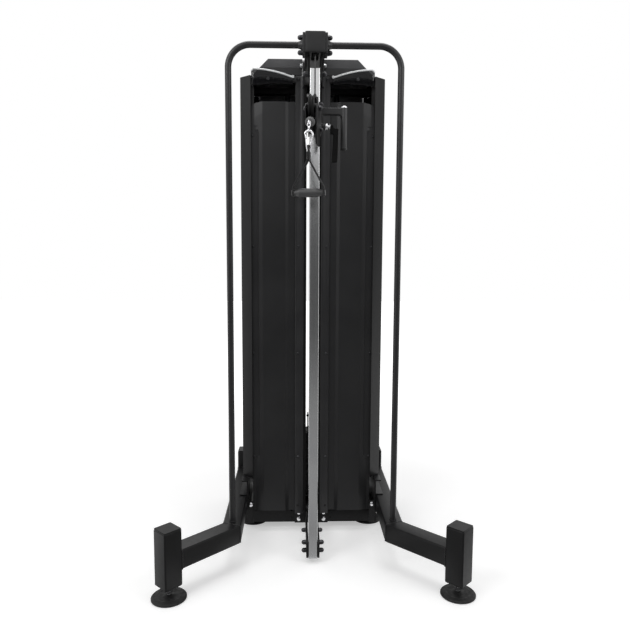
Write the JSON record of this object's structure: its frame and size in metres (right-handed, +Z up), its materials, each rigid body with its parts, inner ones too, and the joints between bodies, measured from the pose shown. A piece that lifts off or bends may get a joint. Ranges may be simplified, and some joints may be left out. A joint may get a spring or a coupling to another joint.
{
  "type": "cable machine",
  "caption": "Free-standing cable machine: enclosed weight stack, guide rail with a height-adjustable swivelling pulley carriage, and a stirrup handle.",
  "frame": {"origin": "on the floor in the middle of the footprint", "axes": "+Z up, -Y towards the user in front, +X to the right seen from the front"},
  "size_m": [1.295, 1.103, 2.238],
  "materials": {
    "black_coat": "satin black powder coat",
    "dark_sheet": "smooth black coated sheet, semi-gloss",
    "smoked": "smoked clear sheet",
    "bright_steel": "bright finished steel",
    "chrome": "polished",
    "cast_black": "matt black",
    "black_rubber": "matt",
    "black_nylon": "moulded",
    "cable_coat": "coated steel cable",
    "webbing": "woven strap"
  },
  "bodies": {
    "frame": {"leg_frame_l": "black_coat", "leg_frame_r": "black_coat", "base_frame": "black_coat", "base_bracket_l": "black_coat", "base_bracket_r": "black_coat", "side_frame_l": "black_coat", "side_frame_r": "black_coat", "rod_bridge": "black_coat", "head_beam": "black_coat", "beam_cap": "black_coat", "rail_foot_bracket": "black_coat", "bow_l": "black_coat", "bow_r": "black_coat", "side_cover_l": "dark_sheet", "side_cover_r": "dark_sheet", "front_guard_l": "dark_sheet", "front_guard_r": "dark_sheet", "rear_guard_l": "dark_sheet", "rear_guard_r": "dark_sheet", "hood": "dark_sheet", "top_shield_l": "smoked", "top_shield_r": "smoked", "rail": "bright_steel", "guide_rod_l": "bright_steel", "guide_rod_r": "bright_steel", "rest_plates": "cast_black", "cable_front": "cable_coat", "cable_stack_front": "cable_coat", "cable_stack_rear": "cable_coat", "cable_lower": "cable_coat", "cable_beam": "cable_coat", "cable_back": "cable_coat"},
    "lifted": {"lifted_plates": "cast_black", "top_plate": "cast_black", "selector_stem": "bright_steel", "pulley_block": "black_coat"},
    "stack_pulley": {"stack_pulley": "black_nylon"},
    "selector": {"selector_pin": "chrome"},
    "carriage": {"carriage": "black_coat"},
    "plunger": {"plunger_pin": "chrome", "squeeze_lever": "black_rubber"},
    "fork": {"fork": "black_coat", "cable_handle": "cable_coat"},
    "fork_pulley": {"fork_pulley": "black_nylon"},
    "ball": {"ball_stop": "black_rubber"},
    "hook": {"snap_hook": "chrome", "handle_strap": "webbing"},
    "gate": {"hook_gate": "chrome"},
    "grip": {"handle_grip": "black_rubber"},
    "head_pulley": {"head_pulley": "black_nylon"},
    "crown_front": {"crown_pulley_front": "black_nylon"},
    "crown_rear": {"crown_pulley_rear": "black_nylon"},
    "base_rear": {"base_pulley_rear": "black_nylon"},
    "base_front": {"base_pulley_front": "black_nylon"},
    "foot_front_l": {"foot_front_l": "black_rubber"},
    "foot_front_r": {"foot_front_r": "black_rubber"},
    "foot_rear_l": {"foot_rear_l": "black_rubber"},
    "foot_rear_r": {"foot_rear_r": "black_rubber"},
    "foot_tower_l": {"foot_tower_l": "black_rubber"},
    "foot_tower_r": {"foot_tower_r": "black_rubber"}
  },
  "joints": [
    {"name": "weight_lift", "type": "slide", "parent": "frame", "child": "lifted", "axis": [0, 0, 1], "range_m": [0, 0.65], "deforming": ["cable_stack_front", "cable_stack_rear"]},
    {"name": "carriage_slide", "type": "slide", "parent": "frame", "child": "carriage", "axis": [0, 0, 1], "range_m": [-1.35, 0.075], "deforming": ["cable_front", "cable_lower"]},
    {"name": "plunger_slide", "type": "slide", "parent": "carriage", "child": "plunger", "axis": [1, 0, 0], "range_m": [-0.0075, 0.005], "stiffness_N_per_m": 400, "springref_m": -0.0075},
    {"name": "fork_swivel", "type": "hinge", "parent": "carriage", "child": "fork", "pos_m": [0, -0.25, 1.9], "axis": [0, 0, 1], "range_deg": [-34, 56]},
    {"name": "fork_pulley_spin", "type": "hinge", "parent": "fork", "child": "fork_pulley", "pos_m": [-0.00954, -0.29908, 1.934], "axis": [0.9816, -0.1908, 0], "continuous": true},
    {"name": "handle_pull", "type": "slide", "parent": "fork", "child": "ball", "axis": [-0.1908, -0.9816, 0], "range_m": [0, 1.3]},
    {"name": "hook_swing", "type": "hinge", "parent": "ball", "child": "hook", "pos_m": [-0.02734, -0.39067, 1.8609], "axis": [0.9816, -0.1908, 0], "range_deg": [-80, 15]},
    {"name": "gate_hinge", "type": "hinge", "parent": "hook", "child": "gate", "pos_m": [-0.03773, -0.38865, 1.80155], "axis": [0.1908, 0.9816, 0], "range_deg": [0, 20], "stiffness_Nm_per_rad": 0.03},
    {"name": "grip_spin", "type": "hinge", "parent": "hook", "child": "grip", "pos_m": [-0.02734, -0.39067, 1.5954], "axis": [0.9816, -0.1908, 0], "continuous": true},
    {"name": "selector_pull", "type": "slide", "parent": "lifted", "child": "selector", "axis": [0, -1, 0], "range_m": [0, 0.09]},
    {"name": "stack_pulley_spin", "type": "hinge", "parent": "lifted", "child": "stack_pulley", "pos_m": [0, 0.286, 0.5294], "axis": [1, 0, 0], "continuous": true},
    {"name": "head_pulley_spin", "type": "hinge", "parent": "frame", "child": "head_pulley", "pos_m": [0, -0.21, 2.186], "axis": [1, 0, 0], "continuous": true},
    {"name": "crown_front_spin", "type": "hinge", "parent": "frame", "child": "crown_front", "pos_m": [0, 0.206, 2.186], "axis": [1, 0, 0], "continuous": true},
    {"name": "crown_rear_spin", "type": "hinge", "parent": "frame", "child": "crown_rear", "pos_m": [0, 0.366, 2.186], "axis": [1, 0, 0], "continuous": true},
    {"name": "base_rear_spin", "type": "hinge", "parent": "frame", "child": "base_rear", "pos_m": [0, 0.366, 0.064], "axis": [1, 0, 0], "continuous": true},
    {"name": "base_front_spin", "type": "hinge", "parent": "frame", "child": "base_front", "pos_m": [0, -0.1155, 0.064], "axis": [1, 0, 0], "continuous": true},
    {"name": "foot_front_l_turn", "type": "hinge", "parent": "frame", "child": "foot_front_l", "pos_m": [-0.577, -0.481, 0.02], "axis": [0, 0, 1], "continuous": true},
    {"name": "foot_front_r_turn", "type": "hinge", "parent": "frame", "child": "foot_front_r", "pos_m": [0.577, -0.481, 0.02], "axis": [0, 0, 1], "continuous": true},
    {"name": "foot_rear_l_turn", "type": "hinge", "parent": "frame", "child": "foot_rear_l", "pos_m": [-0.3514, 0.481, 0.02], "axis": [0, 0, 1], "continuous": true},
    {"name": "foot_rear_r_turn", "type": "hinge", "parent": "frame", "child": "foot_rear_r", "pos_m": [0.3514, 0.481, 0.02], "axis": [0, 0, 1], "continuous": true},
    {"name": "foot_tower_l_turn", "type": "hinge", "parent": "frame", "child": "foot_tower_l", "pos_m": [-0.29, 0.228, 0.02], "axis": [0, 0, 1], "continuous": true},
    {"name": "foot_tower_r_turn", "type": "hinge", "parent": "frame", "child": "foot_tower_r", "pos_m": [0.29, 0.228, 0.02], "axis": [0, 0, 1], "continuous": true}
  ],
  "couplings": [
    {"joint": "handle_pull", "follows": "weight_lift", "ratio": 2},
    {"joint": "head_pulley_spin", "follows": "weight_lift", "rad_per_m": 50},
    {"joint": "crown_front_spin", "follows": "weight_lift", "rad_per_m": 50},
    {"joint": "stack_pulley_spin", "follows": "weight_lift", "rad_per_m": -25},
    {"joint": "fork_pulley_spin", "follows": "weight_lift", "rad_per_m": -40},
    {"joint": "crown_rear_spin", "follows": "carriage_slide", "rad_per_m": -25},
    {"joint": "base_rear_spin", "follows": "carriage_slide", "rad_per_m": -25},
    {"joint": "base_front_spin", "follows": "carriage_slide", "rad_per_m": -25}
  ]
}
